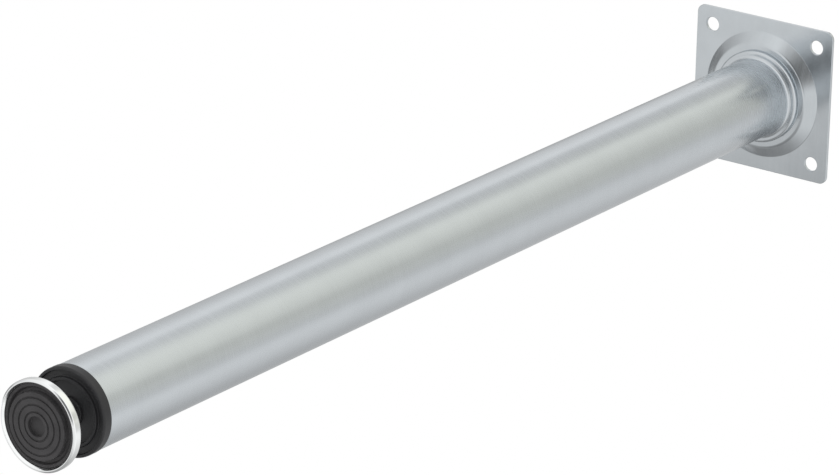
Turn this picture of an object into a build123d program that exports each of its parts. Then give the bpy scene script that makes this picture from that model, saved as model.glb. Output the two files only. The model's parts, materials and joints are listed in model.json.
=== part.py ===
"""Table leg: a steel tube crimped into a pressed mounting plate, with a screw-adjusted foot.

The leg stands upright. The origin is the centre of the sole, on the floor, and +Z runs up
the tube to the mounting plate. All sizes are in millimetres.
"""
from build123d import *
from math import atan2, cos, radians, tan
import os

# Driving dimensions: the leg as a whole
overall_height = 710.0          # floor to the plate's mounting face, foot set as modelled
tube_diameter = 50.0
tube_wall = 1.5

# Pressed mounting plate
plate_side = 100.0
plate_thickness = 2.0
plate_corner_radius = 5.0
screw_hole_pitch = 77.0
screw_hole_diameter = 9.2
boss_height = 4.6               # how far the boss is pressed down from the plate
boss_land_width = 4.2           # flat ring between the tube's bead and the boss's shoulder
boss_wall_run = 7.0             # width of the sloping wall, seen from above
boss_shoulder_bend = 2.0        # inside radius of the bend at the top of the boss
boss_foot_bend = 0.8            # inside radius of the bend where the wall meets the plate

# Crimp that locks the tube in the plate
bead_reach = 4.8                # how far the folded bead stands out from the tube
bead_gap = 0.4                  # slit left inside the fold
bead_root_bend = 2.0            # outside radius where the tube turns out into the bead
lip_reach = 3.6                 # how far the flared lip stands out behind the plate
lip_edge_round = 0.5
neck_bend = 0.3                 # radius where the neck meets the bead and the lip
neck_clearance = 0.05           # between the bends of the tube's neck and the hole in the boss
fold_edge_trim = 0.05           # keeps the bead's two edge arcs apart

# Plastic insert in the lower end of the tube
insert_flange_overhang = 0.3    # flange past the outside of the tube
insert_flange_height = 6.0
insert_flange_edge_round = 1.4
insert_rim_width = 1.7          # rim round the recessed underside
insert_moat_width = 4.2
insert_moat_depth = 1.8
insert_ridge_width = 1.5
insert_dish_depth = 2.6
insert_wall_draft = 0.4         # how far the recessed walls lean over their depth
insert_sleeve_length = 24.0
insert_sleeve_wall = 2.0
insert_sleeve_clearance = 0.6   # sleeve to the inside of the tube
insert_fin_clearance = 0.1      # gripping fins to the inside of the tube
insert_fin_count = 4
insert_fin_thickness = 1.2
insert_fin_pitch = 5.0
insert_lead_in = 1.0            # chamfer at the sleeve's upper edge
insert_hub_wall = 2.6           # plastic outside the corners of the nut
insert_hub_cap = 3.0            # plastic over the nut
insert_rib_count = 6
insert_rib_thickness = 1.8
insert_rib_height = 9.0
insert_bore_clearance = 0.3     # spindle to the hole in the plastic

# Hexagon nut held in the insert
nut_across_flats = 17.0
nut_height = 8.0
thread_clearance = 0.05         # spindle to nut, on the radius

# Levelling foot
foot_gap = 18.3                 # cup's back to the insert's rim, foot set as modelled
spindle_diameter = 9.9
spindle_length = 42.0           # from the cup's back to the free end
spindle_end_chamfer = 1.0
spindle_collar_diameter = 16.0
spindle_collar_height = 2.5
rivet_tail_diameter = 8.0
rivet_play = 0.05               # round the tail and above the head
rivet_head_diameter = 13.0
rivet_head_height = 1.6
rivet_head_round = 0.8
cup_diameter = 51.6
cup_height = 6.2
cup_sheet = 1.5
cup_back_round = 2.2            # outside radius where the cup's back turns into its rim
cup_lip_round = 0.7             # outer edge of the cup's lip
cup_grip_reach = 1.1            # how far the lip is turned in over the pad
cup_grip_flare = 1.05           # width of the slope between the lip's nose and its inner edge
cup_grip_height = 1.4           # height of that slope
cup_grip_round = 0.3

# Rubber pad in the cup
pad_clearance = 0.1
pad_grip_gap = 0.2              # between the inner edge of the cup's lip and the pad's outer land
pad_back_round = 1.0
pad_land_width = 1.5
pad_moat_width = 1.4            # flat bottom of the moat
pad_moat_depth = 1.5            # from the pad's outer land to the bottom of the moat
pad_moat_rise = 1.0             # width of the slope from the bottom of the moat to the land
tread_stand_out = 0.5           # tread below the cup's lip
tread_edge_round = 0.5
tread_wall_draft = 0.4          # how far the tread's side leans out down to the moat
tread_foot_bend = 0.5           # radius where the tread's side meets the moat
tread_ring_count = 3
tread_ring_pitch = 4.0
tread_ring_margin = 2.8         # tread's edge to the middle of the outer ring
tread_ring_width = 1.0
tread_ring_depth = 0.8
tread_dimple_diameter = 11.4
tread_dimple_depth = 2.4
rivet_head_room = 0.3           # air round the rivet head, in the back of the pad

# Heights worked out from the sizes above
floor_level = 0.0
cup_lip_level = floor_level + tread_stand_out
cup_grip_level = cup_lip_level + cup_grip_height
pad_land_level = cup_grip_level + pad_grip_gap
cup_back_level = cup_lip_level + cup_height
insert_rim_level = cup_back_level + foot_gap
tube_end_level = insert_rim_level + insert_flange_height
plate_top_level = overall_height
plate_under_level = plate_top_level - plate_thickness
boss_under_level = plate_under_level - boss_height
boss_top_level = boss_under_level + plate_thickness

# Radii worked out from the sizes above
tube_outer = tube_diameter / 2
tube_inner = tube_outer - tube_wall
bead_radius = tube_outer + bead_reach
boss_shoulder_radius = bead_radius + boss_land_width
boss_foot_radius = boss_shoulder_radius + boss_wall_run
spindle_radius = spindle_diameter / 2
cup_radius = cup_diameter / 2
cup_inner = cup_radius - cup_sheet
cup_grip_radius = cup_inner - cup_grip_reach
pad_radius = cup_inner - pad_clearance
pad_land_outer = cup_grip_radius - pad_clearance
pad_land_inner = pad_land_outer - pad_land_width
pad_moat_outer = pad_land_inner - pad_moat_rise
pad_moat_inner = pad_moat_outer - pad_moat_width
tread_radius = pad_moat_inner - tread_wall_draft
nut_corner_radius = nut_across_flats / 2 / cos(radians(30))

# Ways to stand a block on its base plane
ON_BASE = (Align.CENTER, Align.CENTER, Align.MIN)
FROM_AXIS = (Align.MIN, Align.CENTER, Align.MIN)


def turned(corners):
    """Solid of revolution about Z from (radius, height, rounding) corners, in order."""
    points = [(radius, height) for radius, height, _ in corners]
    face = make_face(Polyline(*points, close=True))
    for radius, height, rounding in corners:
        if rounding > 0:
            corner = face.vertices().sort_by_distance((radius, height, 0))[0]
            face = fillet(corner, rounding)
    return revolve(Plane.XZ * face, Axis.Z)


def hexagon(across_flats, height):
    """Hexagonal prism standing on its base plane."""
    return extrude(RegularPolygon(across_flats / 2, 6, major_radius=False), height)


def lifted(solid, height):
    """The solid moved up the leg's axis."""
    return Pos(0, 0, height) * solid


def mounting_plate():
    """Square sheet with four screw holes and a round boss pressed towards the foot."""
    blank_edge = boss_foot_radius + plate_thickness
    blank = extrude(RectangleRounded(plate_side, plate_side, plate_corner_radius), plate_thickness)
    blank = lifted(blank, plate_under_level)
    blank -= lifted(Cylinder(blank_edge, 3 * plate_thickness), plate_under_level)

    wall_angle = atan2(boss_height, boss_wall_run)
    sheet_shift = plate_thickness * tan(wall_angle / 2)
    hole_radius = tube_outer + neck_bend + neck_clearance
    boss = turned([
        (hole_radius, boss_under_level, 0),
        (boss_shoulder_radius, boss_under_level, boss_shoulder_bend + plate_thickness),
        (boss_foot_radius, plate_under_level, boss_foot_bend),
        (blank_edge, plate_under_level, 0),
        (blank_edge, plate_top_level, 0),
        (boss_foot_radius - sheet_shift, plate_top_level, boss_foot_bend + plate_thickness),
        (boss_shoulder_radius - sheet_shift, boss_top_level, boss_shoulder_bend),
        (hole_radius, boss_top_level, 0),
    ])
    plate = blank + boss
    for place in GridLocations(screw_hole_pitch, screw_hole_pitch, 2, 2):
        hole = Cylinder(screw_hole_diameter / 2, 4 * plate_thickness)
        plate -= lifted(place * hole, plate_top_level)
    return plate


def leg_tube():
    """Tube with its upper wall folded into a bead, run through the boss and flared behind it."""
    bead_top = boss_under_level
    bead_bottom = bead_top - 2 * tube_wall - bead_gap
    slit_bottom = bead_bottom + tube_wall
    slit_top = bead_top - tube_wall
    slit_end = bead_radius - tube_wall
    lip_bottom = boss_top_level
    lip_top = lip_bottom + tube_wall
    bead_edge = (bead_top - bead_bottom) / 2 - fold_edge_trim
    lip_radius = tube_outer + lip_reach
    return turned([
        (tube_outer, tube_end_level, 0),
        (tube_outer, bead_bottom, bead_root_bend),
        (bead_radius, bead_bottom, bead_edge),
        (bead_radius, bead_top, bead_edge),
        (tube_outer, bead_top, neck_bend),
        (tube_outer, lip_bottom, neck_bend),
        (lip_radius, lip_bottom, lip_edge_round),
        (lip_radius, lip_top, lip_edge_round),
        (tube_inner, lip_top, neck_bend + tube_wall),
        (tube_inner, slit_top, neck_bend + tube_wall),
        (slit_end, slit_top, 0),
        (slit_end, slit_bottom, 0),
        (tube_inner, slit_bottom, bead_root_bend + tube_wall),
        (tube_inner, tube_end_level, 0),
    ])


def tube_insert():
    """Moulded plug: flange, recessed underside, finned sleeve, and a ribbed hub for the nut."""
    flange_radius = tube_outer + insert_flange_overhang
    moat_outer = flange_radius - insert_rim_width
    moat_inner = moat_outer - insert_moat_width
    dish_radius = moat_inner - insert_ridge_width
    moat_floor = insert_rim_level + insert_moat_depth
    dish_floor = insert_rim_level + insert_dish_depth
    bore_radius = spindle_radius + insert_bore_clearance
    insert = turned([
        (bore_radius, tube_end_level, 0),
        (flange_radius, tube_end_level, 0),
        (flange_radius, insert_rim_level, insert_flange_edge_round),
        (moat_outer, insert_rim_level, 0),
        (moat_outer - insert_wall_draft, moat_floor, insert_wall_draft),
        (moat_inner + insert_wall_draft, moat_floor, insert_wall_draft),
        (moat_inner, insert_rim_level, insert_wall_draft),
        (dish_radius, insert_rim_level, insert_wall_draft),
        (dish_radius - insert_wall_draft, dish_floor, insert_wall_draft),
        (bore_radius, dish_floor, 0),
    ])

    sleeve_outer = tube_inner - insert_sleeve_clearance
    sleeve_inner = sleeve_outer - insert_sleeve_wall
    sleeve = turned([
        (sleeve_inner, tube_end_level, 0),
        (sleeve_outer, tube_end_level, 0),
        (sleeve_outer, tube_end_level + insert_sleeve_length, insert_lead_in),
        (sleeve_inner, tube_end_level + insert_sleeve_length, 0),
    ])
    fin = Cylinder(tube_inner - insert_fin_clearance, insert_fin_thickness)
    fin -= Cylinder(sleeve_outer - insert_sleeve_wall / 2, insert_fin_thickness)
    for index in range(insert_fin_count):
        sleeve += lifted(fin, tube_end_level + (index + 0.8) * insert_fin_pitch)

    hub_radius = nut_corner_radius + insert_hub_wall
    hub_height = nut_height + insert_hub_cap
    hub = lifted(Cylinder(hub_radius, hub_height, align=ON_BASE), tube_end_level)
    rib_length = (sleeve_inner + sleeve_outer) / 2
    rib = Box(rib_length, insert_rib_thickness, insert_rib_height, align=FROM_AXIS)
    rib -= Cylinder(hub_radius - insert_hub_wall / 2, 3 * insert_rib_height)
    for index in range(insert_rib_count):
        sleeve += lifted(Rot(0, 0, index * 360 / insert_rib_count) * rib, tube_end_level)

    insert += sleeve + hub
    insert -= lifted(Cylinder(bore_radius, 3 * hub_height), tube_end_level)
    insert -= lifted(hexagon(nut_across_flats, nut_height), tube_end_level)
    return insert


def insert_nut():
    """Hexagon nut moulded into the insert's hub."""
    nut = hexagon(nut_across_flats, nut_height)
    nut -= Cylinder(spindle_radius + thread_clearance, 3 * nut_height)
    return lifted(nut, tube_end_level)


def foot_spindle():
    """Threaded rod with a shoulder, riveted through the cup. The thread is left smooth."""
    shoulder_top = cup_back_level + spindle_collar_height
    free_end = cup_back_level + spindle_length
    head_top = cup_back_level - cup_sheet - rivet_play
    head_bottom = head_top - rivet_head_height
    collar_radius = spindle_collar_diameter / 2
    spindle = turned([
        (0, head_bottom, 0),
        (rivet_head_diameter / 2, head_bottom, rivet_head_round),
        (rivet_head_diameter / 2, head_top, 0),
        (rivet_tail_diameter / 2, head_top, 0),
        (rivet_tail_diameter / 2, cup_back_level, 0),
        (collar_radius, cup_back_level, 0),
        (collar_radius, shoulder_top, 0),
        (spindle_radius, shoulder_top, 0),
        (spindle_radius, free_end, 0),
        (0, free_end, 0),
    ])
    return chamfer(spindle.edges().group_by(Axis.Z)[-1], spindle_end_chamfer)


def foot_cup():
    """Pressed steel disc with its rim turned down round the pad, and its lip turned in over it."""
    web_under = cup_back_level - cup_sheet
    hole_radius = rivet_tail_diameter / 2 + rivet_play
    return turned([
        (hole_radius, web_under, 0),
        (hole_radius, cup_back_level, 0),
        (cup_radius, cup_back_level, cup_back_round),
        (cup_radius, cup_lip_level, cup_lip_round),
        (cup_grip_radius + cup_grip_flare, cup_lip_level, cup_grip_round),
        (cup_grip_radius, cup_grip_level, cup_grip_round),
        (cup_inner, cup_grip_level + cup_grip_reach, 0),
        (cup_inner, web_under, cup_back_round - cup_sheet),
    ])


def sole_pad():
    """Rubber pad: outer land, moat, and a raised tread with ring grooves and a dimple."""
    web_under = cup_back_level - cup_sheet
    moat_floor = pad_land_level + pad_moat_depth
    dimple_radius = tread_dimple_diameter / 2
    dimple_floor = floor_level + tread_dimple_depth
    pocket_radius = rivet_head_diameter / 2 + rivet_head_room
    pocket_floor = web_under - rivet_play - rivet_head_height - rivet_head_room
    pad = turned([
        (0, dimple_floor, 0),
        (dimple_radius, dimple_floor, 0),
        (dimple_radius, floor_level, 0),
        (tread_radius, floor_level, tread_edge_round),
        (pad_moat_inner, moat_floor, tread_foot_bend),
        (pad_moat_outer, moat_floor, 0),
        (pad_land_inner, pad_land_level, 0),
        (pad_land_outer, pad_land_level, 0),
        (pad_radius, pad_land_level + cup_grip_reach, 0),
        (pad_radius, web_under, pad_back_round),
        (pocket_radius, web_under, 0),
        (pocket_radius, pocket_floor, 0),
        (0, pocket_floor, 0),
    ])
    for index in range(tread_ring_count):
        middle = tread_radius - tread_ring_margin - index * tread_ring_pitch
        groove = Cylinder(middle + tread_ring_width / 2, 2 * tread_ring_depth)
        groove -= Cylinder(middle - tread_ring_width / 2, 2 * tread_ring_depth)
        pad -= lifted(groove, floor_level)
    return pad


subparts = {
    "mounting_plate": mounting_plate,
    "leg_tube": leg_tube,
    "tube_insert": tube_insert,
    "insert_nut": insert_nut,
    "foot_spindle": foot_spindle,
    "foot_cup": foot_cup,
    "sole_pad": sole_pad,
}

os.makedirs("parts", exist_ok=True)
for name, build in subparts.items():
    export_step(build(), f"parts/{name}.step")
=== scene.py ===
# %% [markdown]
# # A table leg with a screw-adjusted foot
#
# This notebook dresses the CAD model of a steel table leg. The real thing is a
# 50 mm tube. A press folds the upper end of the tube into a bead and flares the
# rest behind a square mounting plate, so that the plate is gripped without any
# weld. The lower end carries a black plastic plug with a nut seated in its hub,
# and in the nut turns a threaded foot: a bright pressed cup round a rubber pad.
#
# The model stands upright with the middle of the sole at the origin. Everything
# is in metres. The first cell clears Blender's startup objects, so that they
# aren't counted as part of the leg, and loads the CAD model as a fixed frame.

# %% Load the frame
import json
from math import atan2, cos, pi, radians, sin, tan

import bpy
from mathutils import Matrix, Vector

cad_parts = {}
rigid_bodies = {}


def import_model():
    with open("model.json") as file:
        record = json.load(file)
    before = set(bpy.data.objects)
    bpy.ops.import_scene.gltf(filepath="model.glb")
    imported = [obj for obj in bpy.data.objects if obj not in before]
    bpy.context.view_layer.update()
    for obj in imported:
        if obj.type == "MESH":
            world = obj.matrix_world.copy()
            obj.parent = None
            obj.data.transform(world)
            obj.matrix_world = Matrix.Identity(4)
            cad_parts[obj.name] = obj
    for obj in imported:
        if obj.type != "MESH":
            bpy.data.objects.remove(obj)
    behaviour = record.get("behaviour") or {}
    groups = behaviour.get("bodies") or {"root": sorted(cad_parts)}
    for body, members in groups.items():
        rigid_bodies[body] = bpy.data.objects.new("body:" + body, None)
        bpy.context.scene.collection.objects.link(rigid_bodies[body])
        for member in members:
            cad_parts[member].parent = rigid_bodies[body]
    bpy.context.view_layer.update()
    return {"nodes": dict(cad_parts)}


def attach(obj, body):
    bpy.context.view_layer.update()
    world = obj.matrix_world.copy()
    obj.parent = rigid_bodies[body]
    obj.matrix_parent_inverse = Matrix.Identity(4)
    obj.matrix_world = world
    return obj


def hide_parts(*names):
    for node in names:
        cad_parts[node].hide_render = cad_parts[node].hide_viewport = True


for startup_object in list(bpy.data.objects):
    bpy.data.objects.remove(startup_object)

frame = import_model()
nodes = frame["nodes"]
print("nodes:", sorted(nodes))

# %% [markdown]
# ## The camera
#
# The photographer looked at the leg from the foot's side, along its length, with
# a long lens. A long lens keeps the two ends of the leg nearly the same size, so
# the far plate looks hardly smaller than the near foot. The place and the tilt
# of the camera were found by fitting circles of known size (the rim of the cup,
# the tube, the bead and the boss) to their outlines in the photograph. The tilt
# is written as the directions of the picture's right and up sides.

# %% Camera
MM = 0.001
CAMERA_PLACE = Vector((-970.05, -1523.49, -1794.42)) * MM
PICTURE_RIGHT = Vector((-0.02066334, -0.80928008, 0.58705943))
PICTURE_UP = Vector((-0.93861412, 0.21794257, 0.26740338))
LENS_MM = 208.98
SENSOR_WIDTH_MM = 36.0
NEAR_CLIP, FAR_CLIP = 0.05, 60.0


def add_camera(place, right, up):
    """Camera at place, with the picture's sides along right and up."""
    data = bpy.data.cameras.new("photo_camera")
    data.lens = LENS_MM
    data.sensor_fit = "HORIZONTAL"
    data.sensor_width = SENSOR_WIDTH_MM
    data.clip_start = NEAR_CLIP
    data.clip_end = FAR_CLIP
    camera = bpy.data.objects.new("photo_camera", data)
    bpy.context.scene.collection.objects.link(camera)
    backward = right.cross(up).normalized()
    turn = Matrix((right, up, backward)).transposed()
    camera.matrix_world = Matrix.Translation(place) @ turn.to_4x4()
    return camera


camera = add_camera(CAMERA_PLACE, PICTURE_RIGHT, PICTURE_UP)
bpy.context.scene.camera = camera
print("camera", camera.data.lens, "mm, at", tuple(round(v, 3) for v in camera.location))

# %% [markdown]
# ## Helpers for node trees
#
# Materials, the world and Geometry Nodes are all graphs of nodes. Three small
# helpers keep the cells that follow short: one adds a node and fills its inputs,
# one does a sum, and one eases from one number to another.

# %% Node helpers
def add_node(tree, kind, inputs=None, **settings):
    """Adds a node, sets its settings, and fills inputs with values or links outputs to them."""
    node = tree.nodes.new(kind)
    for name, value in settings.items():
        setattr(node, name, value)
    for key, value in (inputs or {}).items():
        if isinstance(value, bpy.types.NodeSocket):
            tree.links.new(value, node.inputs[key])
        else:
            node.inputs[key].default_value = value
    return node


def calculate(tree, operation, *values, clamp=False):
    """Output of a Math node over one, two or three values or sockets."""
    node = add_node(tree, "ShaderNodeMath", dict(enumerate(values)), operation=operation)
    node.use_clamp = clamp
    return node.outputs[0]


def smooth_step(tree, value, start, end, low=0.0, high=1.0):
    """Output that eases from low to high as value goes from start to end."""
    node = add_node(tree, "ShaderNodeMapRange", interpolation_type="SMOOTHSTEP")
    tree.links.new(value, node.inputs["Value"])
    for name, number in (("From Min", start), ("From Max", end), ("To Min", low), ("To Max", high)):
        node.inputs[name].default_value = number
    return node.outputs["Result"]


print("helpers: add_node, calculate, smooth_step")

# %% [markdown]
# ## The studio
#
# Plated steel shows what stands round it, so the room matters as much as the
# metal. The photograph has a plain white ground, and the tube shows a bright
# room with a few soft darker parts: the place where the photographer stood, and
# the gaps between the soft lights. A world colour can do this without any
# picture: it is white, a few round patches of it are dimmed, and one is brighter,
# as a lamp is. `direction` names a patch by its bearing round the leg, with 0
# towards -Y and 90 towards -X, and by its height above the level of the floor.
#
# Rays from the camera see plain white. Rays that a glossy surface sends out see
# the white room with its patches, and the light that falls on matt surfaces is
# a plain level below that, because the lamps add to it.

# %% World
ROOM_LIGHT = 0.62


def direction(bearing, height):
    """Unit vector from a bearing round the leg and a height above the horizon, in degrees."""
    level = cos(radians(height))
    around = radians(bearing)
    return Vector((-sin(around) * level, -cos(around) * level, sin(radians(height))))


# bearing, height, angle where the patch is full, angle where it has faded, and the
# share of the light that it takes away, which is negative where it adds some
ROOM_PATCHES = [
    (-94, 27, 13, 60, 0.32),
    (7, 70, 4, 35, 0.37),
    (102, 56, 7, 16, 0.36),
    (181, 16, 10, 56, 0.35),
    (42, -65, 9, 26, 0.84),
    (-40, -46, 14, 32, 0.13),
    (-107, 0, 7, 63, 0.57),
    (185, -5, 17, 83, 0.19),
    (-103, -49, 8, 31, 0.56),
    (83, -57, 5, 15, 0.4),
    (-8, 38, 8, 14, 0.2),
    (18, 37, 8, 14, 0.26),
    (197, 58, 6, 15, 0.42),
    (185, -1, 7, 16, 0.44),
    (-145, 9, 15, 28, -1.2),
]
# The part of the room that looks slightly yellow-green, in the same terms, and its colour
WARM_PATCH = (44, 50, 12, 42)
WARM_COLOUR = (1.0, 1.0, 0.93, 1.0)
WHITE = (1.0, 1.0, 1.0, 1.0)


def patch_share(tree, look, bearing, height, full, faded):
    """Output that is 1 inside a round patch of the room and 0 outside it."""
    toward = add_node(tree, "ShaderNodeVectorMath", {0: look, 1: direction(bearing, height)},
                      operation="DOT_PRODUCT").outputs["Value"]
    return smooth_step(tree, toward, cos(radians(faded)), cos(radians(full)))


def add_world():
    """White ground for the camera, and a room of dim and bright patches for reflections."""
    world = bpy.data.worlds.new("studio")
    bpy.context.scene.world = world
    world.use_nodes = True
    world.cycles.sampling_method = "NONE"
    tree = world.node_tree
    tree.nodes.clear()
    look = add_node(tree, "ShaderNodeTexCoord").outputs["Generated"]
    room = None
    for *place, depth in ROOM_PATCHES:
        lit = calculate(tree, "MULTIPLY_ADD", patch_share(tree, look, *place), -depth, 1.0)
        room = lit if room is None else calculate(tree, "MULTIPLY", room, lit)
    path = add_node(tree, "ShaderNodeLightPath").outputs
    shiny = calculate(tree, "MAXIMUM", path["Is Glossy Ray"], path["Is Transmission Ray"])
    seen = add_node(tree, "ShaderNodeMix", {0: shiny, 2: ROOM_LIGHT, 3: room}).outputs[0]
    seen = add_node(tree, "ShaderNodeMix", {0: path["Is Camera Ray"], 2: seen, 3: 1.0}).outputs[0]
    warmth = calculate(tree, "MULTIPLY", shiny, patch_share(tree, look, *WARM_PATCH))
    tint = add_node(tree, "ShaderNodeMix", data_type="RGBA")
    tree.links.new(warmth, tint.inputs["Factor"])
    tint.inputs["A"].default_value = WHITE
    tint.inputs["B"].default_value = WARM_COLOUR
    ground = add_node(tree, "ShaderNodeBackground", {
        "Color": tint.outputs["Result"], "Strength": seen})
    add_node(tree, "ShaderNodeOutputWorld", {"Surface": ground.outputs[0]})
    return world


world = add_world()
print("world:", world.name, "with", len(ROOM_PATCHES), "patches")

# %% [markdown]
# Three large soft lamps give the light its direction: one high on the side that
# the picture shows as its top, one low on the same side, and one low on the
# other side. They are as large as a real softbox, so shadows have soft edges.
# Shiny surfaces don't mirror them, because the patches of the room do that part.

# %% Lamps
# name, bearing, height, distance, side, brightness of its face
LAMPS = [
    ("high_softbox", 62, 50, 2.4, 1.7, 1.7),
    ("low_softbox", 132, -38, 2.2, 1.3, 1.6),
    ("fill_softbox", -40, -48, 2.4, 1.3, 1.3),
]
LAMP_AIM = Vector((0.0, 0.0, 0.35))


def add_softbox(name, bearing, height, distance, side, brightness):
    """Square area lamp that faces the middle of the leg."""
    data = bpy.data.lights.new(name, "AREA")
    data.shape = "SQUARE"
    data.size = side
    data.energy = brightness * pi * side * side
    lamp = bpy.data.objects.new(name, data)
    lamp.visible_glossy = False
    bpy.context.scene.collection.objects.link(lamp)
    outward = direction(bearing, height)
    lamp.location = LAMP_AIM + outward * distance
    lamp.rotation_euler = outward.to_track_quat("Z", "Y").to_euler()
    return lamp


for lamp_row in LAMPS:
    lamp = add_softbox(*lamp_row)
    print("lamp", lamp.name, round(lamp.data.energy, 1), "W")

# %% [markdown]
# The floor is a pale matt sheet. The photograph looks up at the leg from below
# it, so the floor is only there for eyes above it: its material is see-through
# from below, and for every ray that doesn't come from the camera. A weak glow
# lifts it to nearly white and leaves the leg's soft shadow on it. Further out it
# turns into the white of the ground, so that no horizon shows.

# %% Floor
FLOOR_COLOUR = (0.86, 0.86, 0.86, 1.0)
FLOOR_RADIUS = 6.0
FLOOR_FADE = (0.7, 2.4)
FLOOR_GLOW = 0.3


def floor_material():
    """Pale matt sheet seen from above, and nothing seen from below."""
    material = bpy.data.materials.new("studio_floor")
    material.use_nodes = True
    tree = material.node_tree
    tree.nodes.clear()
    place = add_node(tree, "ShaderNodeTexCoord").outputs["Object"]
    far = add_node(tree, "ShaderNodeVectorMath", {0: place}, operation="LENGTH").outputs["Value"]
    matt = add_node(tree, "ShaderNodeBsdfDiffuse", {"Color": FLOOR_COLOUR})
    glow = add_node(tree, "ShaderNodeEmission", {"Strength": FLOOR_GLOW})
    pale = add_node(tree, "ShaderNodeAddShader", {0: matt.outputs[0], 1: glow.outputs[0]})
    white = add_node(tree, "ShaderNodeEmission", {"Strength": 1.0})
    sheet = add_node(tree, "ShaderNodeMixShader", {
        0: smooth_step(tree, far, *FLOOR_FADE), 1: pale.outputs[0], 2: white.outputs[0]})
    clear = add_node(tree, "ShaderNodeBsdfTransparent")
    seen_from_below = add_node(tree, "ShaderNodeNewGeometry").outputs["Backfacing"]
    above = calculate(tree, "SUBTRACT", 1.0, seen_from_below)
    from_camera = add_node(tree, "ShaderNodeLightPath").outputs["Is Camera Ray"]
    shown = calculate(tree, "MULTIPLY", above, from_camera)
    surface = add_node(tree, "ShaderNodeMixShader", {
        0: shown, 1: clear.outputs[0], 2: sheet.outputs[0]})
    add_node(tree, "ShaderNodeOutputMaterial", {"Surface": surface.outputs[0]})
    return material


def add_floor(radius, corners=64):
    """Round sheet at the level of the sole."""
    mesh = bpy.data.meshes.new("floor")
    ring = [(radius * cos(2 * pi * i / corners), radius * sin(2 * pi * i / corners), 0.0)
            for i in range(corners)]
    mesh.from_pydata(ring, [], [tuple(range(corners))])
    mesh.materials.append(floor_material())
    floor = bpy.data.objects.new("floor", mesh)
    bpy.context.scene.collection.objects.link(floor)
    return floor


floor = add_floor(FLOOR_RADIUS)
print("floor radius", FLOOR_RADIUS, "m")

# %% [markdown]
# ## Plated steel
#
# Zinc plating is a thin, slightly blue metal skin. On the tube it was polished
# with a belt while the tube turned, which left very fine lines round its girth.
# The lines come from noise that is squeezed along Z: on a round tube such a
# pattern runs round the girth by itself, and needs no UV map. A second, wide
# noise gives the faint clouds of the plating. Both change the colour a little,
# and the lines also change the roughness and a very small bump.
#
# The press leaves the plate slightly domed, by too little to show in its outline.
# A second bump stands for this. Its height falls with the square of the distance
# from the axis, as on a ball of the given radius, and the mesh stays flat.

# %% Metal material
# Nearly every value of a noise texture lies between these two
NOISE_SPAN = (0.3, 0.7)
# The least and the greatest roughness of a metal, as shares of the one it is given
METAL_SPREAD = (0.9, 1.12)
LINE_RELIEF = 0.00002
ROUND_THE_GIRTH = (14.0, 14.0, 1500.0)
ALONG_THE_SHEET = (20.0, 400.0, 20.0)


def new_material(name):
    """New material, its node tree, its Principled shader and its Object coordinates."""
    material = bpy.data.materials.new(name)
    material.use_nodes = True
    tree = material.node_tree
    place = add_node(tree, "ShaderNodeTexCoord").outputs["Object"]
    return material, tree, tree.nodes["Principled BSDF"], place


def noise(tree, place, scale, detail, roughness):
    """Output of a noise texture."""
    return add_node(tree, "ShaderNodeTexNoise", {
        "Vector": place, "Scale": scale, "Detail": detail, "Roughness": roughness}).outputs["Fac"]


def tone_from(tree, texture, depth):
    """Output that follows the texture from a depth below 1 to a depth above it."""
    return smooth_step(tree, texture, *NOISE_SPAN, 1.0 - depth, 1.0 + depth)


def set_surface(tree, shader, colour, tone, grain, roughness, spread, bump):
    """Sets the colour times a tone, a roughness that follows the grain, and the bump."""
    shade = add_node(tree, "ShaderNodeVectorMath", {0: colour, "Scale": tone}, operation="SCALE")
    tree.links.new(shade.outputs[0], shader.inputs["Base Color"])
    least, greatest = (roughness * share for share in spread)
    rough = smooth_step(tree, grain, *NOISE_SPAN, least, greatest)
    tree.links.new(rough, shader.inputs["Roughness"])
    tree.links.new(bump.outputs[0], shader.inputs["Normal"])


def dome_bump(tree, place, radius):
    """Bump that bends the light of a flat sheet like a ball of the given radius."""
    level = add_node(tree, "ShaderNodeVectorMath", {0: place, 1: (1.0, 1.0, 0.0)},
                     operation="MULTIPLY").outputs[0]
    square = add_node(tree, "ShaderNodeVectorMath", {0: level, 1: level},
                      operation="DOT_PRODUCT").outputs["Value"]
    height = calculate(tree, "MULTIPLY", square, -0.5 / radius)
    return add_node(tree, "ShaderNodeBump", {"Height": height, "Strength": 1.0, "Distance": 1.0})


def plated_steel(name, colour, roughness, line_depth, cloud_depth, line_scale=ROUND_THE_GIRTH,
                 bump_strength=0.12, dome_radius=None):
    """Procedural plated steel with fine lines and faint clouds, on Object coordinates."""
    material, tree, shader, place = new_material(name)
    squeezed = add_node(tree, "ShaderNodeMapping", {"Vector": place, "Scale": line_scale})
    lines = noise(tree, squeezed.outputs[0], scale=1.0, detail=5.0, roughness=0.62)
    clouds = noise(tree, place, scale=45.0, detail=3.0, roughness=0.5)
    cloud_tone = tone_from(tree, clouds, cloud_depth)
    tone = calculate(tree, "MULTIPLY", cloud_tone, tone_from(tree, lines, line_depth))
    bump = add_node(tree, "ShaderNodeBump", {
        "Height": lines, "Strength": bump_strength, "Distance": LINE_RELIEF})
    set_surface(tree, shader, colour, tone, lines, roughness, METAL_SPREAD, bump)
    if dome_radius:
        dome = dome_bump(tree, place, dome_radius)
        tree.links.new(dome.outputs[0], bump.inputs["Normal"])
    shader.inputs["Metallic"].default_value = 1.0
    return material


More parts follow.
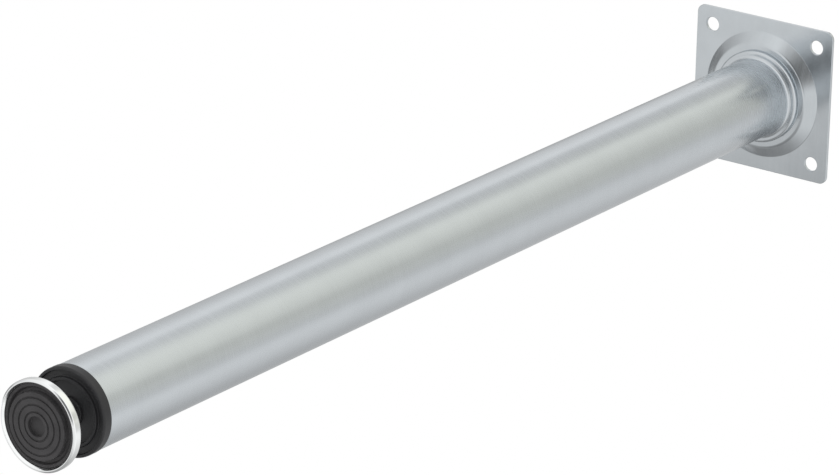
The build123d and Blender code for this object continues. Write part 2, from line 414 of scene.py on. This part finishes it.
tube_zinc = plated_steel("tube_zinc_plating", colour=(0.61, 0.645, 0.672), roughness=0.26,
                         line_depth=0.016, cloud_depth=0.015, bump_strength=0.02)
plate_zinc = plated_steel("plate_zinc_plating", colour=(0.585, 0.62, 0.645), roughness=0.2,
                          line_depth=0.01, cloud_depth=0.03, line_scale=ALONG_THE_SHEET,
                          bump_strength=0.04, dome_radius=1.08)
cup_zinc = plated_steel("cup_bright_plating", colour=(0.95, 0.965, 0.965), roughness=0.1,
                        line_depth=0.01, cloud_depth=0.01)
rod_zinc = plated_steel("rod_zinc_plating", colour=(0.60, 0.62, 0.63), roughness=0.3,
                        line_depth=0.03, cloud_depth=0.04)
nut_zinc = plated_steel("nut_zinc_plating", colour=(0.55, 0.56, 0.56), roughness=0.33,
                        line_depth=0.03, cloud_depth=0.04)
print("metals:", [m.name for m in (tube_zinc, plate_zinc, cup_zinc, rod_zinc, nut_zinc)])

# %% [markdown]
# ## Plastic and rubber
#
# The plug and the pad are both black mouldings. The plug is a hard plastic with
# a faint shine and the fine pebble of a spark-eroded mould. The pad is rubber:
# it is duller and a little paler, less evenly so from handling, and its skin is
# finer. The skins could come from pictures of real ones, but a noise texture
# needs no picture and no UV map, and a bump is enough for pits this small.

# %% Moulded black materials
MOULD_SPREAD = (0.88, 1.1)
PEBBLE_STRENGTH = 0.3


def moulded_black(name, colour, roughness, gloss, grain_scale, grain_depth, wear):
    """Procedural black moulding: a pebbled skin and slightly uneven blackness."""
    material, tree, shader, place = new_material(name)
    grain = noise(tree, place, scale=grain_scale, detail=3.0, roughness=0.6)
    haze = noise(tree, place, scale=90.0, detail=4.0, roughness=0.6)
    bump = add_node(tree, "ShaderNodeBump", {
        "Height": grain, "Strength": PEBBLE_STRENGTH, "Distance": grain_depth})
    tone = tone_from(tree, haze, wear)
    set_surface(tree, shader, colour, tone, grain, roughness, MOULD_SPREAD, bump)
    shader.inputs["Specular IOR Level"].default_value = gloss
    return material


plug_plastic = moulded_black("plug_black_plastic", colour=(0.022, 0.022, 0.024), roughness=0.42,
                             gloss=0.45, grain_scale=1800.0, grain_depth=0.00004, wear=0.12)
pad_rubber = moulded_black("pad_black_rubber", colour=(0.057, 0.055, 0.057), roughness=0.55,
                           gloss=0.3, grain_scale=2600.0, grain_depth=0.00005, wear=0.16)
print("blacks:", plug_plastic.name, pad_rubber.name)

# %% [markdown]
# ## One rule for every turned part
#
# The tube, the cup and the pad are all round about the same axis, so each is an
# outline carried once round it. In Blender this could be the Screw modifier, but
# a Geometry Nodes tree can also round the corners by itself. The tree takes the
# corners of half a cross-section, rounds each one by its own radius, and carries
# the outline round the axis. With several turns and a rise it makes a screw
# thread by the same rule, so the tree has inputs for those too.
#
# The sweep only supplies the faces. Where each point goes is then worked out
# from three stored numbers: its distance from the axis, its height in the
# outline, and its share of the way round.

# %% Geometry Nodes: carry an outline round the axis
SWEEP_INPUTS = [
    ("Segments", "NodeSocketInt"),
    ("Turns", "NodeSocketFloat"),
    ("Rise", "NodeSocketFloat"),
    ("Run-out", "NodeSocketFloat"),
    ("Root radius", "NodeSocketFloat"),
    ("Corner steps", "NodeSocketInt"),
    ("Material", "NodeSocketMaterial"),
]


def new_geometry_tree(name, inputs):
    """Empty Geometry Nodes tree with named inputs, and its input and output nodes."""
    tree = bpy.data.node_groups.new(name, "GeometryNodeTree")
    tree.interface.new_socket("Geometry", in_out="INPUT", socket_type="NodeSocketGeometry")
    for label, kind in inputs:
        tree.interface.new_socket(label, in_out="INPUT", socket_type=kind)
    tree.interface.new_socket("Geometry", in_out="OUTPUT", socket_type="NodeSocketGeometry")
    return tree, add_node(tree, "NodeGroupInput").outputs, add_node(tree, "NodeGroupOutput")


def store(tree, geometry, name, value):
    """Stores a number on every point of a geometry."""
    return add_node(tree, "GeometryNodeStoreNamedAttribute", {
        "Geometry": geometry, "Name": name, "Value": value},
        data_type="FLOAT", domain="POINT").outputs["Geometry"]


def stored(tree, name):
    """Reads back a stored number."""
    return add_node(tree, "GeometryNodeInputNamedAttribute", {"Name": name},
                    data_type="FLOAT").outputs["Attribute"]


def parts_of(tree, kind):
    """X, Y and Z outputs of an input node such as the position or the normal."""
    return add_node(tree, "ShaderNodeSeparateXYZ", {0: add_node(tree, kind).outputs[0]}).outputs


# Folds from this angle up stay sharp, and points within this many metres are joined
SHARP_FROM = radians(32)
WELD = 0.000002
# A run-out of less than this share of a turn counts as none
NO_RUN_OUT = 1e-6


def finish_tree(tree, mesh, material, output):
    """Welds coinciding points, marks sharp edges, realizes instances and sets the material."""
    welded = add_node(tree, "GeometryNodeMergeByDistance", {"Geometry": mesh, "Distance": WELD})
    smooth = add_node(tree, "GeometryNodeSetShadeSmooth", {"Geometry": welded.outputs[0]},
                      domain="FACE")
    fold = add_node(tree, "GeometryNodeInputMeshEdgeAngle").outputs["Unsigned Angle"]
    sharp = add_node(tree, "FunctionNodeCompare", {"A": fold, "B": SHARP_FROM},
                     data_type="FLOAT", operation="GREATER_THAN").outputs[0]
    edges = add_node(tree, "GeometryNodeSetShadeSmooth", {
        "Geometry": smooth.outputs[0], "Selection": sharp, "Shade Smooth": False}, domain="EDGE")
    real = add_node(tree, "GeometryNodeRealizeInstances", {"Geometry": edges.outputs[0]})
    dressed = add_node(tree, "GeometryNodeSetMaterial", {
        "Geometry": real.outputs[0], "Material": material})
    tree.links.new(dressed.outputs[0], output.inputs["Geometry"])


def sweep_tree():
    """Tree that rounds the corners of an outline and carries it round the axis."""
    tree, given, output = new_geometry_tree("carry_round_the_axis", SWEEP_INPUTS)
    outline = add_node(tree, "GeometryNodeMeshToCurve", {"Mesh": given["Geometry"]}).outputs[0]
    rounded = add_node(tree, "GeometryNodeFilletCurve", {
        "Curve": outline, "Count": given["Corner steps"], "Radius": stored(tree, "rounding")},
        mode="POLY").outputs[0]
    corner = parts_of(tree, "GeometryNodeInputPosition")
    outline = store(tree, rounded, "outline_radius", corner["X"])
    outline = store(tree, outline, "outline_height", corner["Z"])

    steps = calculate(tree, "MULTIPLY", given["Segments"], given["Turns"])
    one_turn = add_node(tree, "GeometryNodeCurvePrimitiveCircle", {"Resolution": given["Segments"]})
    straight = add_node(tree, "GeometryNodeCurvePrimitiveLine")
    many_turns = add_node(tree, "GeometryNodeResampleCurve", {
        "Curve": straight.outputs[0], "Count": calculate(tree, "ADD", steps, 1.0)})
    closes = add_node(tree, "FunctionNodeCompare", {"A": given["Rise"], "B": 0.0},
                      data_type="FLOAT", operation="EQUAL").outputs[0]
    path = add_node(tree, "GeometryNodeSwitch", {
        "Switch": closes, "False": many_turns.outputs[0], "True": one_turn.outputs[0]},
        input_type="GEOMETRY").outputs[0]
    share = add_node(tree, "GeometryNodeSplineParameter").outputs["Factor"]
    path = store(tree, path, "share", share)
    rises = calculate(tree, "GREATER_THAN", given["Rise"], 0.0)
    skin = add_node(tree, "GeometryNodeCurveToMesh", {
        "Curve": path, "Profile Curve": outline, "Fill Caps": rises})

    turns_done = calculate(tree, "MULTIPLY", stored(tree, "share"), given["Turns"])
    angle = calculate(tree, "MULTIPLY", turns_done, 2 * pi)
    turns_left = calculate(tree, "SUBTRACT", given["Turns"], turns_done)
    from_end = calculate(tree, "MINIMUM", turns_done, turns_left)
    run_out = calculate(tree, "MAXIMUM", given["Run-out"], NO_RUN_OUT)
    grown = calculate(tree, "DIVIDE", from_end, run_out, clamp=True)
    full_at_once = calculate(tree, "LESS_THAN", given["Run-out"], NO_RUN_OUT)
    grown = calculate(tree, "MAXIMUM", grown, full_at_once)
    radius = add_node(tree, "ShaderNodeMix", {
        0: grown, 2: given["Root radius"], 3: stored(tree, "outline_radius")}).outputs[0]
    level = calculate(tree, "MULTIPLY_ADD", turns_done, given["Rise"],
                      stored(tree, "outline_height"))
    place = add_node(tree, "ShaderNodeCombineXYZ", {
        "X": calculate(tree, "MULTIPLY", radius, calculate(tree, "COSINE", angle)),
        "Y": calculate(tree, "MULTIPLY", radius, calculate(tree, "SINE", angle)),
        "Z": level})
    placed = add_node(tree, "GeometryNodeSetPosition", {
        "Geometry": skin.outputs[0], "Position": place.outputs[0]})
    finish_tree(tree, placed.outputs[0], given["Material"], output)
    return tree


carry_round_the_axis = sweep_tree()
print("tree:", carry_round_the_axis.name, "with", len(carry_round_the_axis.nodes), "nodes")

# %% [markdown]
# An outline is a short chain of corners, each written as its distance from the
# axis, its height and its rounding, in millimetres, just as a turner reads them
# from a drawing. A chain whose ends both lie on the axis stays open, and so does
# one that is to be joined to something else. Any other chain is closed.
#
# `make_plain` takes the finished result of an object's modifiers as its mesh, and
# removes the modifiers. `even_shading` first adds the Weighted Normal modifier as
# the last in the row. It keeps wide faces flat where they meet a small rounding,
# which a mirror-like surface would show at once.

# %% Outlines and plain meshes
WIDE_FACE_WEIGHT = 100


def outline_object(name, corners, closed=True):
    """Object whose mesh is a chain of edges through (radius, height, rounding) corners."""
    mesh = bpy.data.meshes.new(name)
    last = len(corners) - 1
    edges = [(i, i + 1) for i in range(last)]
    if closed:
        edges.append((last, 0))
    mesh.from_pydata([(radius * MM, 0.0, height * MM) for radius, height, _ in corners], edges, [])
    rounding = mesh.attributes.new("rounding", "FLOAT", "POINT")
    rounding.data.foreach_set("value", [row[2] * MM for row in corners])
    piece = bpy.data.objects.new(name, mesh)
    bpy.context.scene.collection.objects.link(piece)
    return piece


def put_through(piece, tree, **inputs):
    """Adds a Geometry Nodes modifier and sets its inputs by their sockets' identifiers."""
    modifier = piece.modifiers.new(tree.name, "NODES")
    modifier.node_group = tree
    for socket in tree.interface.items_tree:
        key = socket.name.replace(" ", "_").replace("-", "_").lower()
        if socket.in_out == "INPUT" and key in inputs:
            modifier[socket.identifier] = inputs[key]


def make_plain(piece):
    """Replaces the object's mesh with the result of its modifiers, and removes them."""
    bpy.context.view_layer.update()
    evaluated = piece.evaluated_get(bpy.context.evaluated_depsgraph_get())
    mesh = bpy.data.meshes.new_from_object(evaluated)
    rough_mesh = piece.data
    piece.modifiers.clear()
    piece.data = mesh
    bpy.data.meshes.remove(rough_mesh)
    mesh.name = piece.name


def even_shading(piece):
    """Adds a Weighted Normal modifier, which keeps wide faces flat, and makes the piece plain."""
    modifier = piece.modifiers.new("even_shading", "WEIGHTED_NORMAL")
    modifier.keep_sharp = True
    modifier.weight = WIDE_FACE_WEIGHT
    make_plain(piece)


def inside_out(mesh):
    """True if the faces of a closed mesh point inwards."""
    mesh.calc_loop_triangles()
    points = mesh.vertices
    volume = sum(points[a].co.dot(points[b].co.cross(points[c].co))
                 for a, b, c in (t.vertices for t in mesh.loop_triangles))
    return volume < 0


def report(piece):
    """Prints a piece's faces and box in millimetres."""
    low = [round(min(v.co[i] for v in piece.data.vertices) / MM, 2) for i in range(3)]
    high = [round(max(v.co[i] for v in piece.data.vertices) / MM, 2) for i in range(3)]
    print(piece.name, len(piece.data.polygons), "faces, box", low, high)


def turned(name, corners, material, segments=192, corner_steps=6, closed=True, **screw):
    """Plain mesh of an outline carried once round the axis, or up it as a screw thread."""
    piece = outline_object(name, corners, closed)
    put_through(piece, carry_round_the_axis, segments=segments, corner_steps=corner_steps,
                material=material, **{"turns": 1.0, **screw})
    make_plain(piece)
    if inside_out(piece.data):
        piece.data.flip_normals()
    return piece


print("helpers: outline_object, put_through, make_plain, even_shading, report, turned")

# %% [markdown]
# ## The tube and its crimp
#
# The tube is one outline: up the outside, out into the folded bead, back to the
# neck in the hole of the plate, out again into the flared lip, and down the
# inside. The bead is the tube's own wall folded on itself, so a thin slit stays
# open inside the fold. The bead and the lip grip the plate from both sides. The
# fold has generous bends, because steel can't be folded sharp without cracking.

# %% Tube
TUBE_END, BEAD_BOTTOM, BOSS_UNDER, BOSS_TOP = 31.0, 700.0, 703.4, 705.4
TUBE_OUTER, TUBE_INNER, BEAD_RADIUS, LIP_RADIUS = 25.0, 23.5, 29.8, 28.6
TUBE_WALL = 1.5
tube_outline = [
    (TUBE_OUTER, TUBE_END, 0.25),
    (TUBE_OUTER, BEAD_BOTTOM, 2.0),
    (BEAD_RADIUS, BEAD_BOTTOM, 1.65),
    (BEAD_RADIUS, BOSS_UNDER, 1.65),
    (TUBE_OUTER, BOSS_UNDER, 0.3),
    (TUBE_OUTER, BOSS_TOP, 0.3),
    (LIP_RADIUS, BOSS_TOP, 0.5),
    (LIP_RADIUS, BOSS_TOP + TUBE_WALL, 0.5),
    (TUBE_INNER, BOSS_TOP + TUBE_WALL, 1.8),
    (TUBE_INNER, BOSS_UNDER - TUBE_WALL, 1.8),
    (BEAD_RADIUS - TUBE_WALL, BOSS_UNDER - TUBE_WALL, 0.0),
    (BEAD_RADIUS - TUBE_WALL, BEAD_BOTTOM + TUBE_WALL, 0.0),
    (TUBE_INNER, BEAD_BOTTOM + TUBE_WALL, 3.5),
    (TUBE_INNER, TUBE_END, 0.25),
]
crimped_tube = turned("crimped_tube", tube_outline, tube_zinc, segments=256, corner_steps=10)
even_shading(crimped_tube)
report(crimped_tube)
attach(crimped_tube, "leg")
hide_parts("leg_tube")

# %% [markdown]
# ## The pressed mounting plate
#
# The plate is sheet steel, sheared square with rounded corners, punched for four
# screws, and pressed into a low round boss towards the foot. Two things meet in
# it: a round form, which is an outline carried round the axis again, and a flat
# square with holes. The holes could be cut with Boolean modifiers, but those can
# leave uneven faces round a cut, and shiny steel shows them. So a second tree
# fills the flat part between a rounded square, a circle on each corner of a grid
# and the rim of the boss, gives it the thickness of the sheet, and welds the
# boss into it.

# %% Geometry Nodes: flat sheet with holes round a boss
SHEET_INPUTS = [
    ("Side", "NodeSocketFloat"),
    ("Corner radius", "NodeSocketFloat"),
    ("Under side", "NodeSocketFloat"),
    ("Thickness", "NodeSocketFloat"),
    ("Hole pitch", "NodeSocketFloat"),
    ("Hole radius", "NodeSocketFloat"),
    ("Boss radius", "NodeSocketFloat"),
    ("Segments", "NodeSocketInt"),
    ("Material", "NodeSocketMaterial"),
]
CORNER_STEPS = 10
HOLE_SEGMENTS = 48
HOLES_A_SIDE = 2
# A point this many metres outside the rim of the boss still counts as on it
ON_THE_RIM = 0.0002
# A face belongs to a wall if the Z part of its normal is less than this
WALL_SLOPE = 0.5


def sheet_tree():
    """Tree that makes a flat square sheet with four holes and welds it round the given boss."""
    tree, given, output = new_geometry_tree("sheet_round_a_boss", SHEET_INPUTS)
    square = add_node(tree, "GeometryNodeCurvePrimitiveQuadrilateral", {
        "Width": given["Side"], "Height": given["Side"]}, mode="RECTANGLE")
    square = add_node(tree, "GeometryNodeFilletCurve", {
        "Curve": square.outputs[0], "Count": CORNER_STEPS, "Radius": given["Corner radius"]},
        mode="POLY")
    places = add_node(tree, "GeometryNodeMeshGrid", {
        "Size X": given["Hole pitch"], "Size Y": given["Hole pitch"],
        "Vertices X": HOLES_A_SIDE, "Vertices Y": HOLES_A_SIDE})
    ring = add_node(tree, "GeometryNodeCurvePrimitiveCircle", {
        "Resolution": HOLE_SEGMENTS, "Radius": given["Hole radius"]})
    holes = add_node(tree, "GeometryNodeInstanceOnPoints", {
        "Points": places.outputs[0], "Instance": ring.outputs[0]})
    holes = add_node(tree, "GeometryNodeRealizeInstances", {"Geometry": holes.outputs[0]})
    rim = add_node(tree, "GeometryNodeCurvePrimitiveCircle", {
        "Resolution": given["Segments"], "Radius": given["Boss radius"]})
    outlines = add_node(tree, "GeometryNodeJoinGeometry")
    for part in (square, holes, rim):
        tree.links.new(part.outputs[0], outlines.inputs[0])
    flat = add_node(tree, "GeometryNodeFillCurve", {"Curve": outlines.outputs[0]}, mode="NGONS")
    raised = add_node(tree, "ShaderNodeCombineXYZ", {"Z": given["Under side"]})
    flat = add_node(tree, "GeometryNodeTransform", {
        "Geometry": flat.outputs[0], "Translation": raised.outputs[0]})
    upward = add_node(tree, "ShaderNodeCombineXYZ", {"Z": given["Thickness"]})
    thick = add_node(tree, "GeometryNodeExtrudeMesh", {
        "Mesh": flat.outputs[0], "Offset": upward.outputs[0], "Offset Scale": 1.0,
        "Individual": False}, mode="FACES")
    under = add_node(tree, "GeometryNodeFlipFaces", {"Mesh": flat.outputs[0]})

    lean = calculate(tree, "ABSOLUTE", parts_of(tree, "GeometryNodeInputNormal")["Z"])
    upright = calculate(tree, "LESS_THAN", lean, WALL_SLOPE)
    point = parts_of(tree, "GeometryNodeInputPosition")
    level = add_node(tree, "ShaderNodeCombineXYZ", {"X": point["X"], "Y": point["Y"]}).outputs[0]
    reach = add_node(tree, "ShaderNodeVectorMath", {0: level}, operation="LENGTH").outputs["Value"]
    limit = calculate(tree, "ADD", given["Boss radius"], ON_THE_RIM)
    near = calculate(tree, "LESS_THAN", reach, limit)
    inner_wall = calculate(tree, "MULTIPLY", upright, near)
    opened = add_node(tree, "GeometryNodeDeleteGeometry", {
        "Geometry": thick.outputs["Mesh"], "Selection": inner_wall}, domain="FACE")
    whole = add_node(tree, "GeometryNodeJoinGeometry")
    for part in (opened.outputs[0], under.outputs[0], given["Geometry"]):
        tree.links.new(part, whole.inputs[0])
    finish_tree(tree, whole.outputs[0], given["Material"], output)
    return tree


sheet_round_a_boss = sheet_tree()
print("tree:", sheet_round_a_boss.name, "with", len(sheet_round_a_boss.nodes), "nodes")

# %% [markdown]
# The boss is drawn with both faces of the sheet. They lie one thickness apart on
# the slope too, so the corners of the back are moved a little towards the axis.
# The tree then adds the flat part. A very small bevel stands for the rounded edge
# that the tumbling before plating leaves on a sheared sheet, and it is what
# catches the light along the plate's sides.

# %% Mounting plate
PLATE_SIDE, PLATE_CORNER, SHEET = 100.0, 5.0, 2.0
PLATE_UNDER, PLATE_TOP = 708.0, 710.0
HOLE_PITCH, HOLE_RADIUS = 77.0, 4.6
TUMBLED_EDGE, TUMBLED_STEPS = 0.25, 2
BOSS_FOOT, BOSS_SHOULDER, NECK_HOLE = 41.0, 34.0, 25.35
SEAM_RADIUS = BOSS_FOOT + SHEET
BOSS_SLOPE = atan2(PLATE_UNDER - BOSS_UNDER, BOSS_FOOT - BOSS_SHOULDER)
SHEET_SHIFT = SHEET * tan(BOSS_SLOPE / 2)
PLATE_SEGMENTS = 192
boss_outline = [
    (SEAM_RADIUS, PLATE_UNDER, 0.0),
    (BOSS_FOOT, PLATE_UNDER, 0.8),
    (BOSS_SHOULDER, BOSS_UNDER, 4.0),
    (NECK_HOLE, BOSS_UNDER, 0.0),
    (NECK_HOLE, BOSS_TOP, 0.0),
    (BOSS_SHOULDER - SHEET_SHIFT, BOSS_TOP, 2.0),
    (BOSS_FOOT - SHEET_SHIFT, PLATE_TOP, 2.8),
    (SEAM_RADIUS, PLATE_TOP, 0.0),
]
pressed_plate = turned("pressed_plate", boss_outline, plate_zinc, segments=PLATE_SEGMENTS,
                       corner_steps=8, closed=False)
put_through(pressed_plate, sheet_round_a_boss, side=PLATE_SIDE * MM,
            corner_radius=PLATE_CORNER * MM, under_side=PLATE_UNDER * MM, thickness=SHEET * MM,
            hole_pitch=HOLE_PITCH * MM, hole_radius=HOLE_RADIUS * MM, boss_radius=SEAM_RADIUS * MM,
            segments=PLATE_SEGMENTS, material=plate_zinc)
make_plain(pressed_plate)
edge_round = pressed_plate.modifiers.new("tumbled_edge", "BEVEL")
edge_round.width = TUMBLED_EDGE * MM
edge_round.segments = TUMBLED_STEPS
edge_round.limit_method = "ANGLE"
edge_round.angle_limit = SHARP_FROM
even_shading(pressed_plate)
report(pressed_plate)
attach(pressed_plate, "leg")
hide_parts("mounting_plate")

# %% [markdown]
# ## The cup and the rubber pad
#
# The cup is a disc of steel whose rim is turned down round the pad, and it is
# plated bright. The rim ends in a chamfer, and its lip is turned in over the pad,
# so that it grips the rubber. The slope inside the lip faces down, where it
# mirrors the bright room. The cup could be a hollowed cylinder, but in an outline
# each wall, bend and lip is one row that is easy to check against a measurement.

# %% Cup
CUP_RADIUS, CUP_INNER, CUP_LIP, CUP_BACK = 25.8, 24.3, 0.5, 6.7
CUP_SHEET, CHAMFER_WIDTH, CHAMFER_HEIGHT = 1.5, 1.05, 0.7
GRIP_REACH, GRIP_FLARE, GRIP_HEIGHT = 1.1, 1.05, 1.4
GRIP_RADIUS = CUP_INNER - GRIP_REACH
GRIP_LEVEL = CUP_LIP + GRIP_HEIGHT
WEB_UNDER = CUP_BACK - CUP_SHEET
RIVET_HOLE = 4.05
cup_outline = [
    (RIVET_HOLE, WEB_UNDER, 0.0),
    (RIVET_HOLE, CUP_BACK, 0.0),
    (CUP_RADIUS, CUP_BACK, 2.2),
    (CUP_RADIUS, CUP_LIP + CHAMFER_HEIGHT, 0.6),
    (CUP_RADIUS - CHAMFER_WIDTH, CUP_LIP, 0.4),
    (GRIP_RADIUS + GRIP_FLARE, CUP_LIP, 0.2),
    (GRIP_RADIUS, GRIP_LEVEL, 0.3),
    (CUP_INNER, GRIP_LEVEL + GRIP_REACH, 0.0),
    (CUP_INNER, WEB_UNDER, 0.7),
]
pressed_cup = turned("pressed_cup", cup_outline, cup_zinc, segments=256, corner_steps=8)
even_shading(pressed_cup)
report(pressed_cup)
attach(pressed_cup, "foot")
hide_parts("foot_cup")

# %% [markdown]
# The pad has an outer land, a moat and a raised tread with three ring grooves and
# a dimple in the middle. Its edges are slightly rounded, as they come from a
# mould, and a pocket in its back makes room for the head of the rod. The grooves
# are alike, so a loop puts them into the outline.

# %% Rubber pad
PAD_RADIUS, LAND_OUTER, LAND_INNER = 24.2, 23.1, 21.6
LAND_LEVEL, MOAT_FLOOR, MOAT_OUTER, MOAT_INNER = 2.1, 3.6, 20.6, 19.2
TREAD_RADIUS, DIMPLE_RADIUS, DIMPLE_FLOOR = 18.8, 5.7, 2.4
GROOVE_MIDDLES, GROOVE_HALF, GROOVE_DEPTH, GROOVE_ROUNDING = (8.0, 12.0, 16.0), 0.5, 0.8, 0.2
POCKET_RADIUS, POCKET_FLOOR = 6.8, 3.25
pad_outline = [
    (0.0, DIMPLE_FLOOR, 0.0),
    (DIMPLE_RADIUS, DIMPLE_FLOOR, 0.3),
    (DIMPLE_RADIUS, 0.0, 0.2),
]
for middle in GROOVE_MIDDLES:
    pad_outline += [
        (middle - GROOVE_HALF, 0.0, GROOVE_ROUNDING),
        (middle - GROOVE_HALF, GROOVE_DEPTH, GROOVE_ROUNDING),
        (middle + GROOVE_HALF, GROOVE_DEPTH, GROOVE_ROUNDING),
        (middle + GROOVE_HALF, 0.0, GROOVE_ROUNDING),
    ]
pad_outline += [
    (TREAD_RADIUS, 0.0, 0.5),
    (MOAT_INNER, MOAT_FLOOR, 0.5),
    (MOAT_OUTER, MOAT_FLOOR, 0.5),
    (LAND_INNER, LAND_LEVEL, 0.4),
    (LAND_OUTER, LAND_LEVEL, 0.2),
    (PAD_RADIUS, LAND_LEVEL + GRIP_REACH, 0.0),
    (PAD_RADIUS, WEB_UNDER, 1.0),
    (POCKET_RADIUS, WEB_UNDER, 0.0),
    (POCKET_RADIUS, POCKET_FLOOR, 0.0),
    (0.0, POCKET_FLOOR, 0.0),
]
rubber_pad = turned("rubber_pad", pad_outline, pad_rubber, segments=224, corner_steps=4,
                    closed=False)
even_shading(rubber_pad)
report(rubber_pad)
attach(rubber_pad, "foot")
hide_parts("sole_pad")

# %% [markdown]
# ## The threaded rod
#
# The rod is cold-headed: a shoulder rests on the cup and a head holds the cup
# from below. Its rolled M10 thread runs up into the nut. The rod's body is a
# turned outline, and the thread is the same tree with a rise of 1.5 mm a turn:
# a ridge whose two ends run out into the rod, as a rolled thread's do. A bump
# could draw the thread too, but the rod's own outline would stay straight.

# %% Threaded rod
HEAD_RADIUS, HEAD_FACE, HEAD_BACK, SHANK_RADIUS = 6.5, 3.55, 5.15, 4.0
SHOULDER_RADIUS, SHOULDER_TOP = 8.0, 9.2
PITCH, ROOT_RADIUS, CREST_RADIUS, BURIED_RADIUS = 1.5, 4.08, 4.94, 3.8
FREE_END, END_CHAMFER = 48.7, 0.5
THREAD_START, THREAD_TURNS, THREAD_RUN_OUT = 10.6, 24.6, 0.6
RIDGE_HALF, CREST_HALF, CREST_ROUNDING = 0.7, 0.1, 0.06
rod_outline = [
    (0.0, HEAD_FACE, 0.0),
    (HEAD_RADIUS, HEAD_FACE, 0.8),
    (HEAD_RADIUS, HEAD_BACK, 0.2),
    (SHANK_RADIUS, HEAD_BACK, 0.0),
    (SHANK_RADIUS, CUP_BACK, 0.0),
    (SHOULDER_RADIUS, CUP_BACK, 0.25),
    (SHOULDER_RADIUS, SHOULDER_TOP, 0.35),
    (ROOT_RADIUS, SHOULDER_TOP, 0.3),
    (ROOT_RADIUS, FREE_END - END_CHAMFER, 0.1),
    (ROOT_RADIUS - END_CHAMFER, FREE_END, 0.1),
    (0.0, FREE_END, 0.0),
]
ridge_outline = [
    (BURIED_RADIUS, THREAD_START - RIDGE_HALF, 0.0),
    (CREST_RADIUS, THREAD_START - CREST_HALF, CREST_ROUNDING),
    (CREST_RADIUS, THREAD_START + CREST_HALF, CREST_ROUNDING),
    (BURIED_RADIUS, THREAD_START + RIDGE_HALF, 0.0),
]
threaded_rod = turned("threaded_rod", rod_outline, rod_zinc, segments=64, corner_steps=4,
                      closed=False)
even_shading(threaded_rod)
rolled_thread = turned("rolled_thread", ridge_outline, rod_zinc, segments=56, corner_steps=2,
                       turns=THREAD_TURNS, rise=PITCH * MM, run_out=THREAD_RUN_OUT,
                       root_radius=BURIED_RADIUS * MM)
report(threaded_rod)
report(rolled_thread)
for rod_piece in (threaded_rod, rolled_thread):
    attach(rod_piece, "spindle")
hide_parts("foot_spindle")

# %% [markdown]
# ## Plug and nut
#
# The CAD shapes of the plug and the nut are right as they are, with their ribs,
# fins and rounded edges, so only their materials are set.

# %% Materials of the plug and the nut
for node_name, material in (("tube_insert", plug_plastic), ("insert_nut", nut_zinc)):
    for material_slot in nodes[node_name].material_slots:
        material_slot.material = material
    print(node_name, "gets", material.name)

# %% [markdown]
# The plug's hole for the rod has a raised ring round it, which keeps the rod
# straight where it enters. The ring ends just above the highest place that the
# rod's shoulder can reach. It is a piece of its own that reaches a little into
# the plug, so that the plug's mesh can stay as it is.

# %% Ring round the plug's hole
PLUG_BORE, COLLAR_RADIUS, COLLAR_END, DISH_FLOOR = 5.25, 8.2, 26.1, 27.6
COLLAR_FLARE, COLLAR_BURIED = 0.3, 0.2
collar_outline = [
    (PLUG_BORE, COLLAR_END, 0.2),
    (PLUG_BORE, DISH_FLOOR + COLLAR_BURIED, 0.0),
    (COLLAR_RADIUS + COLLAR_FLARE, DISH_FLOOR + COLLAR_BURIED, 0.0),
    (COLLAR_RADIUS, COLLAR_END, 0.4),
]
bore_ring = turned("bore_ring", collar_outline, plug_plastic, segments=96, corner_steps=4)
even_shading(bore_ring)
report(bore_ring)
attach(bore_ring, "leg")

# %% [markdown]
# ## Finish
#
# The view transform is set to Standard, so that colours come out as written. The
# dressed leg has to stay the size of the CAD model.

# %% Finish
bpy.context.scene.view_settings.view_transform = "Standard"
